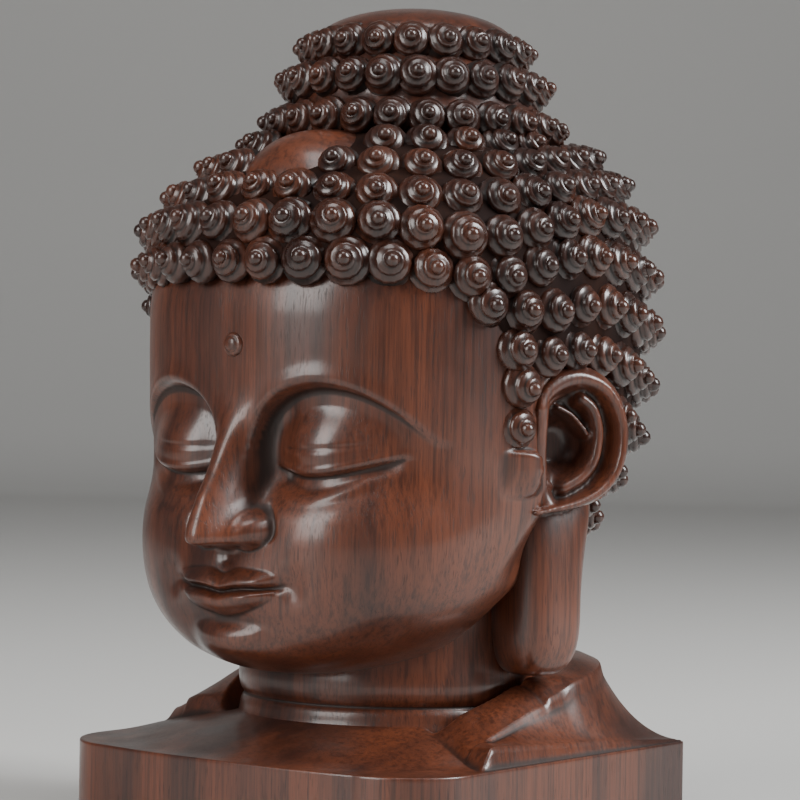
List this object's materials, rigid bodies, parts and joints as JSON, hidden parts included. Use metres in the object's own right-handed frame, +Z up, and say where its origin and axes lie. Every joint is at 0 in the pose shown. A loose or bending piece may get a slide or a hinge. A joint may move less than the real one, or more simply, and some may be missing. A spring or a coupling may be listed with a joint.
{
  "type": "carved wooden buddha head",
  "caption": "Carved dark wood buddha head with snail curls and long ear lobes, on its own low flat bust base, standing by its own weight.",
  "frame": {"origin": "middle of the flat underside, on the middle plane of the face and a little in front of the neck's axis", "axes": "+Z up to the top of the head, the face looks along -Y, the head's own left ear is towards +X"},
  "size_m": [0.0966, 0.1082, 0.15],
  "materials": {
    "wood": "dark reddish brown rosewood, satin hand polish"
  },
  "bodies": {
    "root": {"buddha_head": "wood"}
  },
  "joints": []
}
